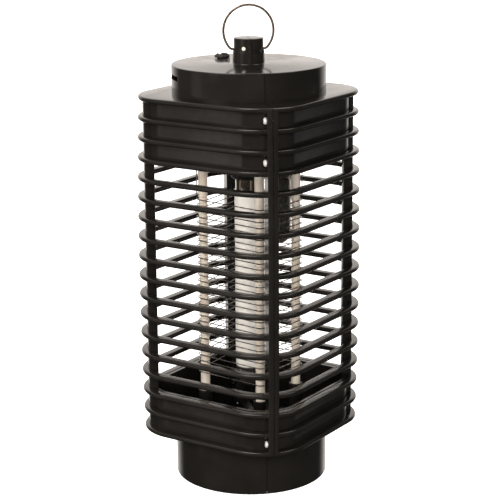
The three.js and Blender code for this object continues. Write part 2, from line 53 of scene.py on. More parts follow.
BASE_RADIUS = 43.8 * MM
CAP_RADIUS = 43.3 * MM
CAP_TOP = 240 * MM
WALL = 2 * MM
CAGE_HALF_WIDTH = 52 * MM
CAGE_CORNER_RADIUS = 26.5 * MM
CAGE_BULGE = 1.1 * MM
RING_COUNT = 18
RING_PITCH = 11.31 * MM
TOP_RING_Z = 222.85 * MM
RING_DEPTH = 5.3 * MM
RING_HEIGHT = 2.7 * MM
HEAD_RINGS = 4
FOOT_RINGS = 3
COMPARTMENT_WALL = 1.8 * MM
SEAM_GAP = 0.3 * MM
TOUCH_GAP = 0.3 * MM
CORNER = math.pi / 4

POST_INSET = 2.5 * MM
POST_DEPTH = 5.5 * MM
POST_WIDTH = 5.8 * MM
SEAM_POST_PROUD = 0.3 * MM
SEAM_POST_DEPTH = 8.3 * MM
SCREW_RADIUS = 1.1 * MM
SCREW_HOLE = SCREW_RADIUS + TOUCH_GAP
SCREW_HEAD_RADIUS = 1.9 * MM

FINIAL_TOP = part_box("left_shell")[1].z
FINIAL_RADIUS = 8.3 * MM
FINIAL_FOOT_RADIUS = 8.9 * MM
FINIAL_STEP_Z = 246 * MM
PIVOT_Z = 248 * MM

GRID_POST_OFFSET = 26.9 * MM
GRID_POST_RADIUS = 2.7 * MM
STARTER_OFFSET = 17.9 * MM
GRID_SPACING = 3.4 * MM
GRID_TOP = 164 * MM
GRID_TURNS = 15.5
GRID_WIRE = 0.3 * MM
WIRE_STANDOFF = 3.35 * MM

FLOOR_RING_Z = TOP_RING_Z - (RING_COUNT - 1) * RING_PITCH
FLANGE_TOP = FLOOR_RING_Z + RING_HEIGHT / 2
PLATE_BOTTOM = PLATE_LOW.z
PLATE_TOP = PLATE_BOTTOM + 2 * MM
PLATE_SCREW_REACH = 36 * MM
STANDOFF_PLACES = [(-22 * MM, 13 * MM), (22 * MM, -13 * MM)]
GRID_POSTS = {
    "front": -CORNER,
    "right": CORNER,
    "back": 3 * CORNER,
    "left": 5 * CORNER,
}

CLEAR_END = 13 * MM
GROOVE_LOW, GROOVE_HIGH = 246.2 * MM, 248.2 * MM
PIN_Z = 248.8 * MM
SCENE = bpy.context.scene


# --- Mesh building --------------------------------------------------------------------------


def new_object(name, mesh):
    piece = bpy.data.objects.new(name, mesh)
    SCENE.collection.objects.link(piece)
    return piece


def mesh_from(name, build):
    """A mesh filled in by build(bm), with its faces turned outwards."""
    bm = bmesh.new()
    build(bm)
    bmesh.ops.recalc_face_normals(bm, faces=bm.faces)
    mesh = bpy.data.meshes.new(name)
    bm.to_mesh(mesh)
    bm.free()
    return mesh


def object_from(name, build):
    return new_object(name, mesh_from(name, build))


def bridge(bm, first, second):
    """Quads between two closed loops of vertices."""
    count = len(first)
    for i in range(count):
        j = (i + 1) % count
        bm.faces.new((first[i], first[j], second[j], second[i]))


def loft(bm, loops):
    """A closed body through these loops of vertices, with a face at each end."""
    for first, second in zip(loops, loops[1:]):
        bridge(bm, first, second)
    bm.faces.new(loops[0])
    bm.faces.new(loops[-1])


def rod(radius, low, high):
    """The profile of a plain cylinder."""
    return [(0, low), (radius, low), (radius, high), (0, high)]


def quarter_angles(steps):
    return [i * math.pi / 2 / steps for i in range(steps + 1)]


def add_revolved(bm, profile, steps, x=0.0, y=0.0):
    """A body of revolution about a vertical axis; a profile that leaves the axis closes on itself."""
    loops = []
    for radius, z in profile:
        if radius < 1e-7:
            loops.append([bm.verts.new((x, y, z))])
            continue
        loops.append([
            bm.verts.new((
                x + radius * math.cos(2 * math.pi * i / steps),
                y + radius * math.sin(2 * math.pi * i / steps),
                z,
            ))
            for i in range(steps)
        ])
    pairs = list(zip(loops, loops[1:]))
    if len(loops[0]) > 1:
        pairs.append((loops[-1], loops[0]))
    for first, second in pairs:
        if len(first) == 1 and len(second) == 1:
            continue
        if len(first) == 1 or len(second) == 1:
            tip, ring = (first, second) if len(first) == 1 else (second, first)
            for i in range(steps):
                bm.faces.new((tip[0], ring[i], ring[(i + 1) % steps]))
            continue
        bridge(bm, first, second)


def rounded_outline(half_x, half_y, radius, steps):
    """Points round a rectangle with round corners, the same number for any size."""
    points = []
    for quarter in range(4):
        middle = CORNER + quarter * math.pi / 2
        centre_x = math.copysign(half_x - radius, math.cos(middle))
        centre_y = math.copysign(half_y - radius, math.sin(middle))
        for i in range(steps + 1):
            angle = quarter * math.pi / 2 + i * math.pi / 2 / max(steps, 1)
            points.append((centre_x + radius * math.cos(angle), centre_y + radius * math.sin(angle)))
    return points


CORNER_STEPS = 14


def cage_loop(bm, inset, z, growth=0.0):
    half = CAGE_HALF_WIDTH + growth - inset
    points = rounded_outline(half, half, CAGE_CORNER_RADIUS - inset, CORNER_STEPS)
    return [bm.verts.new((x, y, z)) for x, y in points]


def add_square_tube(bm, profile, growth=0.0):
    """A closed profile of (inset, z) points swept round the cage's outline."""
    loops = [cage_loop(bm, inset, z, growth) for inset, z in profile]
    for first, second in zip(loops, loops[1:] + loops[:1]):
        bridge(bm, first, second)


def add_square_plate(bm, profile, growth=0.0):
    """A plate whose edge has this profile of (inset, z) points, from its underside to its top."""
    loft(bm, [cage_loop(bm, inset, z, growth) for inset, z in profile])


def add_block(bm, width, depth, bottom, top, x=0.0, y=0.0, turn=0.0, round_edge=0.0):
    """A box with its vertical edges rounded, turned about the origin."""
    outline = rounded_outline(width / 2, depth / 2, round_edge, 4 if round_edge else 0)
    spin = Matrix.Rotation(turn, 3, "Z")
    loft(bm, [
        [bm.verts.new(spin @ Vector((x + px, y + py, z))) for px, py in outline] for z in (bottom, top)
    ])


def add_cross_rod(bm, radius, start, end, along_seam, z, steps=24, tip=0.0):
    """A rod along the seam's normal, at this distance along the seam; tip rounds its far end."""
    profile = [(0.0, start), (radius, start), (radius, end - tip)]
    if tip:
        profile += [
            (radius - tip + tip * math.cos(a), end - tip + tip * math.sin(a))
            for a in (math.pi / 6, math.pi / 3, math.pi / 2)
        ]
    else:
        profile.append((radius, end))
    profile.append((0.0, end))
    place = (
        Matrix.Rotation(-CORNER, 4, "Z")
        @ Matrix.Translation((along_seam, 0, z))
        @ Matrix.Rotation(-math.pi / 2, 4, "X")
    )
    before = len(bm.verts)
    add_revolved(bm, profile, steps)
    bm.verts.ensure_lookup_table()
    for vertex in bm.verts[before:]:
        vertex.co = place @ vertex.co


def boolean(base, build, operation):
    """Joins, cuts or intersects base's mesh with the tool that build(bm) makes."""
    tool = object_from("tool", build)
    modifier = base.modifiers.new("cut", "BOOLEAN")
    modifier.operation = operation
    modifier.solver = "MANIFOLD"
    modifier.object = tool
    graph = bpy.context.evaluated_depsgraph_get()
    mesh = bpy.data.meshes.new_from_object(base.evaluated_get(graph))
    base.modifiers.clear()
    base.data = mesh
    bpy.data.objects.remove(tool)
    return base


def smooth(mesh, degrees=32):
    mesh.shade_smooth()
    mesh.set_sharp_from_angle(angle=math.radians(degrees))


def finish_piece(piece, body, look, nodes=(), degrees=32):
    """Shades a piece, gives it its material and body, and hides the CAD nodes it stands for."""
    if piece.type == "MESH":
        smooth(piece.data, degrees)
    piece.data.materials.clear()
    piece.data.materials.append(look)
    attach(piece, body)
    if nodes:
        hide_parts(*nodes)
    return piece


def make_piece(name, build, body, look, nodes=(), degrees=32):
    return finish_piece(object_from(name, build), body, look, nodes, degrees)


def make_turned(node, profile, steps, slot, look, x=0.0, y=0.0):
    """The casing's piece for a round CAD node, turned from this profile."""
    make_piece(
        f"{node}_fine", lambda bm: add_revolved(bm, profile, steps, x, y), "casing", look, [node]
    )


# --- Materials ------------------------------------------------------------------------------


class Look:
    """A material with a Principled shader, object coordinates and helpers for its nodes."""

    def __init__(self, name):
        self.material = bpy.data.materials.new(name)
        self.material.use_nodes = True
        self.nodes = self.material.node_tree.nodes
        self.links = self.material.node_tree.links
        self.shader = self.nodes["Principled BSDF"]
        self.place = self.nodes.new("ShaderNodeTexCoord").outputs["Object"]

    def noise(self, scale, detail=4.0, roughness=0.55, stretch=None):
        node = self.nodes.new("ShaderNodeTexNoise")
        node.inputs["Scale"].default_value = scale
        node.inputs["Detail"].default_value = detail
        node.inputs["Roughness"].default_value = roughness
        source = self.place
        if stretch:
            mapping = self.nodes.new("ShaderNodeMapping")
            mapping.inputs["Scale"].default_value = stretch
            self.links.new(source, mapping.inputs["Vector"])
            source = mapping.outputs["Vector"]
        self.links.new(source, node.inputs["Vector"])
        return node.outputs["Fac"]

    def span(self, value, low, high, start=0.3, end=0.7):
        """Maps a value from start..end to low..high."""
        node = self.nodes.new("ShaderNodeMapRange")
        node.inputs["From Min"].default_value = start
        node.inputs["From Max"].default_value = end
        node.inputs["To Min"].default_value = low
        node.inputs["To Max"].default_value = high
        self.links.new(value, node.inputs["Value"])
        return node.outputs["Result"]

    def colours(self, value, first, second):
        node = self.nodes.new("ShaderNodeMix")
        node.data_type = "RGBA"
        node.inputs["A"].default_value = (*first, 1)
        node.inputs["B"].default_value = (*second, 1)
        self.links.new(value, node.inputs["Factor"])
        return node.outputs["Result"]

    def bump(self, height, strength, distance):
        node = self.nodes.new("ShaderNodeBump")
        node.inputs["Strength"].default_value = strength
        node.inputs["Distance"].default_value = distance
        self.links.new(height, node.inputs["Height"])
        self.links.new(node.outputs["Normal"], self.shader.inputs["Normal"])

    def set(self, **values):
        for name, value in values.items():
            self.shader.inputs[name.replace("_", " ")].default_value = value

    def link(self, name, output):
        self.links.new(output, self.shader.inputs[name])


def moulded_plastic(name, dark, light, rough=(0.11, 0.2), grain=0.07):
    """Glossy injection-moulded plastic: a faint ripple, fine grain and patches of duller skin."""
    look = Look(name)
    patches = look.noise(38, 5, 0.6)
    look.link("Base Color", look.colours(look.span(patches, 0, 1), dark, light))
    look.link("Roughness", look.span(look.noise(90, 6, 0.65), *rough))
    look.bump(look.noise(260, 3, 0.5), grain, 0.0004)
    look.set(IOR=1.5)
    return look.material


def ivory_plastic():
    look = Look("ivory_insulator_look")
    tone = look.noise(60, 4, 0.6, stretch=(1, 1, 0.35))
    look.link("Base Color", look.colours(look.span(tone, 0, 1), (0.60, 0.54, 0.46), (0.74, 0.69, 0.62)))
    look.link("Roughness", look.span(look.noise(200, 4), 0.38, 0.55))
    look.bump(look.noise(900, 4, 0.6), 0.25, 0.0003)
    look.set(Subsurface_Weight=0.08, Subsurface_Scale=0.004)
    return look.material


def metal(name, dark, light, rough, stretch=None, grain=0.1, scale=240, metallic=1.0):
    look = Look(name)
    tone = look.noise(scale, 5, 0.6, stretch=stretch)
    look.link("Base Color", look.colours(look.span(tone, 0, 1), dark, light))
    look.link("Roughness", look.span(look.noise(scale * 1.7, 5, 0.6, stretch=stretch), *rough))
    look.bump(tone, grain, 0.0003)
    look.set(Metallic=metallic)
    return look.material


def lamp_glass_look():
    """Frosted white tube whose rounded end is clear, dark and shiny; its frosted part carries a faint
    painted glow.
    """
    look = Look("lamp_glass_look")
    cloud = look.noise(70, 5, 0.6, stretch=(1, 1, 0.25))
    white = look.colours(look.span(cloud, 0, 1), (0.72, 0.69, 0.64), (0.84, 0.82, 0.78))
    split = look.nodes.new("ShaderNodeSeparateXYZ")
    look.links.new(look.place, split.inputs["Vector"])
    start = GLASS_LOW.z + CLEAR_END
    frosted = look.span(split.outputs["Z"], 0, 1, start, start + 0.8 * MM)
    blend = look.nodes.new("ShaderNodeMix")
    blend.data_type = "RGBA"
    blend.inputs["A"].default_value = (0.03, 0.028, 0.026, 1)
    look.links.new(frosted, blend.inputs["Factor"])
    look.links.new(white, blend.inputs["B"])
    look.link("Base Color", blend.outputs["Result"])
    look.link("Roughness", look.span(look.noise(160, 4), 0.14, 0.26))
    look.bump(look.noise(420, 3), 0.06, 0.0003)
    look.set(IOR=1.5, Coat_Weight=0.6, Coat_Roughness=0.05)
    # Painted glow: the frosted part gives off a faint warm light of its own though the tube is not lit,
    # brightening it beyond what the lamps give.
    look.link("Emission Strength", look.span(frosted, 0, 0.16, 0, 1))
    look.set(Emission_Color=(1.0, 0.97, 0.93, 1))
    return look.material


def rubber_look():
    look = Look("black_rubber_look")
    tone = look.span(look.noise(120), 0, 1)
    look.link("Base Color", look.colours(tone, (0.012, 0.012, 0.012), (0.03, 0.029, 0.028)))
    look.link("Roughness", look.span(look.noise(300, 5), 0.55, 0.75))
    look.bump(look.noise(1500, 3), 0.3, 0.0002)
    return look.material


def component_look(name, dark, light, rough=(0.3, 0.45)):
    look = Look(name)
    look.link("Base Color", look.colours(look.span(look.noise(150, 4), 0, 1), dark, light))
    look.link("Roughness", look.span(look.noise(320, 4), *rough))
    look.bump(look.noise(800, 3), 0.15, 0.0002)
    return look.material


CASING = moulded_plastic("black_casing_look", (0.0075, 0.0069, 0.0062), (0.0125, 0.0115, 0.0104))
INNER = moulded_plastic("black_inner_look", (0.006, 0.0056, 0.005), (0.011, 0.01, 0.0092), (0.22, 0.4), 0.2)
TRAY = moulded_plastic("black_tray_look", (0.007, 0.0066, 0.006), (0.013, 0.012, 0.011), (0.25, 0.4), 0.2)
IVORY = ivory_plastic()
HANGER = metal(
    "hanger_wire_look", (0.24, 0.18, 0.14), (0.50, 0.42, 0.35), (0.2, 0.34), grain=0.12, metallic=0.85
)
GRID_STEEL = metal("grid_wire_look", (0.26, 0.25, 0.24), (0.5, 0.49, 0.47), (0.2, 0.36))
SCREW_STEEL = metal("screw_steel_look", (0.78, 0.77, 0.75), (0.92, 0.91, 0.89), (0.2, 0.34), metallic=0.45)
NICKEL = metal("nickel_look", (0.58, 0.50, 0.41), (0.84, 0.77, 0.68), (0.06, 0.16), stretch=(1, 1, 6))
ALUMINIUM = metal(
    "starter_aluminium_look", (0.42, 0.41, 0.39), (0.62, 0.61, 0.59), (0.2, 0.34), stretch=(1, 1, 0.1)
)
LAMP_GLASS = lamp_glass_look()
RUBBER = rubber_look()
BOARD = component_look("board_look", (0.02, 0.09, 0.03), (0.035, 0.13, 0.045))
YELLOW = component_look("yellow_capacitor_look", (0.55, 0.40, 0.07), (0.66, 0.50, 0.11), (0.22, 0.35))
RED = component_look("red_capacitor_look", (0.28, 0.045, 0.02), (0.38, 0.07, 0.03), (0.15, 0.3))
COMPONENT = component_look("black_component_look", (0.015, 0.015, 0.015), (0.03, 0.03, 0.03))
TAN = component_look("tan_resistor_look", (0.46, 0.32, 0.17), (0.58, 0.43, 0.26))


# --- Casing ---------------------------------------------------------------------------------


def around(angle, reach):
    return reach * math.cos(angle), reach * math.sin(angle)


def ring_z(index):
    return TOP_RING_Z - index * RING_PITCH


def ring_growth(index):
    middle = (RING_COUNT - 1) / 2
    return CAGE_BULGE * (1 - ((index - middle) / middle) ** 2)


def lip_profile(z, steps=8):
    """The louvre's rounded outer lip, from its underside to its top."""
    half = RING_HEIGHT / 2
    reach = 1.2 * MM
    return [
        (reach * (1 - math.cos(angle)), z + half * math.sin(angle))
        for angle in (math.pi * (i / steps - 0.5) for i in range(steps + 1))
    ]


def inner_edge(z, steps=3):
    """The louvre's inner edge, rounded a little, from its top to its underside."""
    half, edge = RING_HEIGHT / 2, 0.4 * MM
    top = [
        (RING_DEPTH - edge + edge * math.sin(a), z + half - edge + edge * math.cos(a))
        for a in quarter_angles(steps)
    ]
    low = [(inset, 2 * z - height) for inset, height in reversed(top)]
    return top + low


def add_louvres(bm):
    for index in range(1, RING_COUNT - 1):
        z = ring_z(index)
        add_square_tube(bm, lip_profile(z) + inner_edge(z), ring_growth(index))
    for index in (0, RING_COUNT - 1):
        add_square_plate(bm, lip_profile(ring_z(index)), ring_growth(index))


def add_compartment_walls(bm):
    head_bottom = ring_z(HEAD_RINGS - 1) - RING_HEIGHT / 2
    foot_top = ring_z(RING_COUNT - FOOT_RINGS) + RING_HEIGHT / 2
    inner = RING_DEPTH + COMPARTMENT_WALL
    for bottom, top in ((head_bottom, TOP_RING_Z), (FLOOR_RING_Z, foot_top)):
        add_square_tube(bm, [(RING_DEPTH, bottom), (RING_DEPTH, top), (inner, top), (inner, bottom)])


def corner_reach(inset):
    radius = CAGE_CORNER_RADIUS - inset
    return (CAGE_HALF_WIDTH - inset - radius) * math.sqrt(2) + radius


def add_side_posts(bm):
    middle = corner_reach(POST_INSET) - POST_DEPTH / 2
    for eighth in (1, 5):
        add_block(
            bm, POST_DEPTH, POST_WIDTH, FLOOR_RING_Z, TOP_RING_Z,
            x=middle, turn=eighth * CORNER, round_edge=0.9 * MM,
        )


def seam_post_outline(outer, z, turn):
    """The seam post's section at one height, with its two outer corners rounded."""
    half, edge = POST_WIDTH / 2, 0.7 * MM
    inner = corner_reach(0) + SEAM_POST_PROUD - SEAM_POST_DEPTH
    rounded = [
        (outer - edge + edge * math.sin(a), half - edge + edge * math.cos(a)) for a in quarter_angles(4)
    ]
    outline = [(inner, half)] + rounded + [(x, -y) for x, y in reversed(rounded)] + [(inner, -half)]
    spin = Matrix.Rotation(turn, 3, "Z")
    return [spin @ Vector((x, y, z)) for x, y in outline]


def add_seam_posts(bm):
    """The two posts on the seam, whose outer faces follow the cage's barrel shape."""
    for eighth in (-1, 3):
        loops = []
        for index in reversed(range(RING_COUNT)):
            outer = corner_reach(0) + SEAM_POST_PROUD + ring_growth(index) * math.sqrt(2)
            outline = seam_post_outline(outer, ring_z(index), eighth * CORNER)
            loops.append([bm.verts.new(point) for point in outline])
        loft(bm, loops)


SCREW_HEIGHTS = [ring_z(index) - RING_PITCH / 2 for index in (0, 2, RING_COUNT - 2)]
SCREW_REACH = corner_reach(0) - SCREW_HEAD_RADIUS - MM


def fillet(radius, z, size, steps=5):
    """An outer edge rounded from the side (radius) up to the top (z)."""
    return [
        (radius - size + size * math.cos(a), z - size + size * math.sin(a)) for a in quarter_angles(steps)
    ]


def hollow_fillet(radius, z, size, steps=4):
    """The inner corner where a floor at z meets an upright of this radius."""
    return [
        (radius + size - size * math.sin(a), z + size - size * math.cos(a)) for a in quarter_angles(steps)
    ]


def add_cap_and_finial(bm):
    profile = [(0, TOP_RING_Z), (CAP_RADIUS, TOP_RING_Z)]
    profile += fillet(CAP_RADIUS, CAP_TOP, 0.7 * MM)
    profile += hollow_fillet(FINIAL_FOOT_RADIUS, CAP_TOP, 0.5 * MM)
    profile += [
        (FINIAL_FOOT_RADIUS, FINIAL_STEP_Z),
        (FINIAL_FOOT_RADIUS - 0.15 * MM, FINIAL_STEP_Z + 0.7 * MM),
        (FINIAL_RADIUS + 0.15 * MM, FINIAL_STEP_Z + 1.5 * MM),
        (FINIAL_RADIUS, FINIAL_STEP_Z + 2.2 * MM),
    ]
    profile += fillet(FINIAL_RADIUS, FINIAL_TOP, 0.4 * MM, 3)
    profile.append((0, FINIAL_TOP))
    add_revolved(bm, profile, 128)


def add_foot(bm):
    size = 0.6 * MM
    profile = [(0, 0)]
    profile += [(radius, -z) for radius, z in reversed(fillet(BASE_RADIUS, 0, size, 4))]
    profile += [(BASE_RADIUS, FLOOR_RING_Z), (0, FLOOR_RING_Z)]
    add_revolved(bm, profile, 128)


def add_hollows(bm):
    foot = BASE_RADIUS - WALL
    add_revolved(bm, rod(foot, -MM, FLANGE_TOP + MM), 128)
    head = CAP_RADIUS - WALL
    neck = FINIAL_RADIUS - 1.9 * MM
    low = TOP_RING_Z - RING_HEIGHT
    add_revolved(bm, [
        (0, low), (head, low), (head, CAP_TOP - WALL),
        (neck, CAP_TOP - WALL), (neck, FINIAL_TOP - WALL), (0, FINIAL_TOP - WALL),
    ], 96)


def add_vent_slots(bm):
    """Short curved slots through the cap's side, one in the middle of each half."""
    arc, steps = 0.24, 8
    bottom, top = CAP_TOP - 7.6 * MM, CAP_TOP - 5 * MM
    for middle in (CORNER, 5 * CORNER):
        loops = []
        for radius in (CAP_RADIUS - WALL - MM, CAP_RADIUS + MM):
            for z in (bottom, top):
                loops.append([
                    bm.verts.new((
                        radius * math.cos(middle + arc * (2 * i / steps - 1)),
                        radius * math.sin(middle + arc * (2 * i / steps - 1)),
                        z,
                    ))
                    for i in range(steps + 1)
                ])
        ordered = [loops[0], loops[1], loops[3], loops[2]]
        for first, second in zip(ordered, ordered[1:] + ordered[:1]):
            for i in range(steps):
                bm.faces.new((first[i], first[i + 1], second[i + 1], second[i]))
        for end in (0, steps):
            bm.faces.new([loop[end] for loop in ordered])


def add_bosses(bm):
    for quarter in range(4):
        x, y = around(quarter * math.pi / 2, PLATE_SCREW_REACH)
        low = PLATE_TOP + TOUCH_GAP
        add_revolved(bm, [
            (0, low + 9 * MM), (1.4 * MM, low + 9 * MM), (1.4 * MM, low),
            (3.5 * MM, low), (3.5 * MM, CAP_TOP - WALL / 2), (0, CAP_TOP - WALL / 2),
        ], 24, x, y)


def add_tray_stops(bm):
    middle = BASE_RADIUS - WALL - 0.5 * MM
    for quarter in range(4):
        add_block(
            bm, 2 * MM, 5 * MM, TRAY_HIGH.z + TOUCH_GAP, FLOOR_RING_Z,
            x=middle, turn=quarter * math.pi / 2,
        )


def add_casing_holes(bm):
    for side in (1, -1):
        for z in SCREW_HEIGHTS:
            add_cross_rod(bm, SCREW_HOLE, -8 * MM, 8 * MM, side * SCREW_REACH, z, 16)
    add_cross_rod(bm, MM, -12 * MM, 12 * MM, 0, PIVOT_Z, 16)
    x, y = inlet_place()
    add_revolved(bm, rod(3.2 * MM, CAP_TOP - 4 * MM, CAP_TOP + MM), 32, x, y)


def add_finial_groove(bm):
    """A groove round the finial's step on the half to the right of the seam."""
    arc_start, arc_end, steps = math.radians(-43), math.radians(34), 16
    inner, outer = FINIAL_RADIUS - 0.9 * MM, FINIAL_FOOT_RADIUS + MM
    sections = []
    for i in range(steps + 1):
        angle = arc_start + (arc_end - arc_start) * i / steps
        sections.append([
            bm.verts.new((*around(angle, reach), z))
            for reach, z in (
                (inner, GROOVE_LOW), (outer, GROOVE_LOW), (outer, GROOVE_HIGH), (inner, GROOVE_HIGH),
            )
        ])
    loft(bm, sections)


def inlet_place():
    low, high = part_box("cord_inlet_bush")
    return (low.x + high.x) / 2, (low.y + high.y) / 2


def whole_casing():
    casing = object_from("casing", add_cap_and_finial)
    for build in (add_foot, add_compartment_walls, add_louvres, add_side_posts, add_seam_posts):
        boolean(casing, build, "UNION")
    boolean(casing, add_hollows, "DIFFERENCE")
    for build in (add_bosses, add_tray_stops):
        boolean(casing, build, "UNION")
    for build in (add_vent_slots, add_casing_holes, add_finial_groove):
        boolean(casing, build, "DIFFERENCE")
    return casing


def make_finial_pin():
    """The small pin end on the finial, left of the seam, coloured pale as a painted highlight."""
    angle, radius, length = math.radians(-75.5), 1.1 * MM, 0.9 * MM
    place = Matrix.Rotation(angle, 4, "Z") @ Matrix.Translation((FINIAL_RADIUS - 0.5 * MM, 0, PIN_Z))
    place @= Matrix.Rotation(math.pi / 2, 4, "Y")

    def build(bm):
        profile = [(0, 0), (radius, 0)] + fillet(radius, length, 0.4 * MM, 4) + [(0, length)]
        add_revolved(bm, profile, 24)
        for vertex in bm.verts:
            vertex.co = place @ vertex.co

    # Painted highlight: the pale ivory colour makes the pin end show as a bright dot of light.
    make_piece("finial_pin", build, "casing", IVORY)


def make_shells():
    whole = whole_casing()
    size = 0.4
    for name, side in (("left_shell", -1), ("right_shell", 1)):
        half = new_object(f"{name}_fine", whole.data.copy())
        offset = side * (size + SEAM_GAP) / 2
        boolean(
            half, lambda bm: add_block(bm, size, size, -size, size, y=offset, turn=-CORNER), "INTERSECT"
        )
        finish_piece(half, "casing", CASING, [name])
    bpy.data.objects.remove(whole)


# --- Wires ----------------------------------------------------------------------------------


def add_tube(bm, points, radius, sides=10):
    """A round wire through these points, closed at both ends."""
    points = [Vector(point) for point in points]
    count = len(points)
    tangents = []
    for i in range(count):
        before, after = points[max(i - 1, 0)], points[min(i + 1, count - 1)]
        tangents.append((after - before).normalized())
    side = tangents[0].orthogonal().normalized()
    loops = []
    for i in range(count):
        if i:
            side = tangents[i - 1].rotation_difference(tangents[i]) @ side
        up = tangents[i].cross(side)
        loops.append([
            bm.verts.new(
                points[i]
                + radius * math.cos(2 * math.pi * k / sides) * side
                + radius * math.sin(2 * math.pi * k / sides) * up
            )
            for k in range(sides)
        ])
    loft(bm, loops)


def rounded_path(points, radius, steps=5):
    """The same path with each of its corners rounded off."""
    points = [Vector(point) for point in points]
    path = [points[0]]
    for before, corner, after in zip(points, points[1:], points[2:]):
        reach = min(radius, (before - corner).length / 2.2, (after - corner).length / 2.2)
        start = corner + (before - corner).normalized() * reach
        end = corner + (after - corner).normalized() * reach
        for i in range(steps + 1):
            t = i / steps
            path.append((1 - t) ** 2 * start + 2 * t * (1 - t) * corner + t ** 2 * end)
    path.append(points[-1])
    return path


HANGER_WIRE = 0.7 * MM
HANGER_RADIUS = 14.2 * MM
HANGER_CENTRE_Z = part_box("hanging_ring")[1].z - HANGER_RADIUS - HANGER_WIRE


def make_hanging_ring():
    bend = 10.4 * MM
    drop = math.acos(bend / HANGER_RADIUS)
    turn = FINIAL_FOOT_RADIUS + 0.3 * MM
    tuck = FINIAL_RADIUS - 2.9 * MM
    steps = 56
    arc = []
    for i in range(steps + 1):
        angle = -drop + (math.pi + 2 * drop) * i / steps
        arc.append((HANGER_RADIUS * math.cos(angle), HANGER_CENTRE_Z + HANGER_RADIUS * math.sin(angle)))
    start = rounded_path([
        Vector((tuck, 0, PIVOT_Z)), Vector((turn, 0, PIVOT_Z)),
        Vector((arc[0][0], 0, arc[0][1])), Vector((arc[1][0], 0, arc[1][1])),
    ], 1.2 * MM)[:-1]
    path = start + [Vector((x, 0, z)) for x, z in arc[1:-1]]
    path += [Vector((-point.x, 0, point.z)) for point in reversed(start)]
    spin = Matrix.Rotation(CORNER, 3, "Z")
    make_piece(
        "hanging_ring_fine", lambda bm: add_tube(bm, [spin @ p for p in path], HANGER_WIRE, 16),
        "hanger", HANGER, ["hanging_ring"],
    )


WIRE_REACH = GRID_POST_OFFSET + WIRE_STANDOFF
WIRE_CHORD = 1.6 * MM
LEAD_TOP = 196 * MM


def wire_place(angle, side):
    x, y = around(angle, WIRE_REACH)
    side_x, side_y = around(angle + math.pi / 2, side * WIRE_CHORD)
    return x + side_x, y + side_y


def make_grid_wires():
    pitch = 2 * GRID_SPACING
    for name, first in (("live_grid_wire", 5 * CORNER), ("return_grid_wire", CORNER)):
        stations = [Vector((*wire_place(first, -1), LEAD_TOP))]
        for corner in range(round(GRID_TURNS * 4)):
            angle = first + corner * math.pi / 2
            z = GRID_TOP - corner * pitch / 4
            stations.append(Vector((*wire_place(angle, -1), z)))
            stations.append(Vector((*wire_place(angle, 1), z - 0.1 * MM)))
        path = rounded_path(stations, 0.9 * MM, 3)
        make_piece(
            f"{name}_fine", lambda bm: add_tube(bm, path, GRID_WIRE, 8),
            "casing", GRID_STEEL, [name],
        )


# --- Lamp, starter and grid posts -----------------------------------------------------------


def dome_profile(radius, bottom, height, steps):
    """A quarter ellipse from the axis at the bottom out to this radius."""
    sides = [
        (radius * math.sin(a), bottom + height * (1 - math.cos(a))) for a in quarter_angles(steps)
    ]
    return [(0, bottom)] + sides[1:]


def make_lamp():
    radius = GLASS_HIGH.x
    bottom, neck_z = GLASS_LOW.z, CAP_LOW.z
    dome = dome_profile(radius, bottom, 7 * MM, 10)
    neck = radius - 1.7 * MM
    glass = dome + [(radius, neck_z - 1.4 * MM)]
    glass += [(radius - 0.5 * MM, neck_z - 0.8 * MM), (neck, neck_z - 0.3 * MM)]
    glass += [(neck, neck_z + 2.6 * MM), (0, neck_z + 2.6 * MM)]
    make_turned("lamp_glass", glass, 64, "lamp_glass", LAMP_GLASS)
    top = CAP_HIGH.z - 0.8 * MM
    rim = radius - 0.2 * MM
    shell = [(0, neck_z + 3 * MM), (rim - 1.1 * MM, neck_z + 3 * MM), (rim - 1.1 * MM, neck_z)]
    shell += [(rim + 0.15 * MM, neck_z), (rim + 0.15 * MM, neck_z + 0.7 * MM)]
    shell += [(rim - 0.35 * MM, neck_z + 1.3 * MM), (rim - 0.35 * MM, top - 3.2 * MM), (rim, top - 2.6 * MM)]
    shell += [(rim, top - 1.4 * MM), (rim - 0.4 * MM, top - 0.5 * MM), (rim - 1.3 * MM, top)]
    shell += [(2.4 * MM, top), (2.4 * MM, top + 0.8 * MM), (0, top + 0.8 * MM)]
    make_turned("lamp_cap", shell, 64, "nickel", NICKEL)
    make_lamp_holder(top)
    for end in (-1, 1):
        make_electrode(end, neck_z)


def make_electrode(end, top):
    """A filament's support wire seen through the glass at each end of the tube."""
    z = GLASS_LOW.z + 9 * MM if end < 0 else top - 8 * MM
    points = [(-3 * MM, 0, z - end * 3 * MM), (-3 * MM, 0, z), (3 * MM, 0, z), (3 * MM, 0, z - end * 3 * MM)]
    spin = Matrix.Rotation(-CORNER + end, 3, "Z")
    path = rounded_path([spin @ Vector(p) for p in points], MM)
    name = "lower_lamp_filament" if end < 0 else "upper_lamp_filament"
    make_piece(name, lambda bm: add_tube(bm, path, 0.25 * MM, 8), "casing", GRID_STEEL)


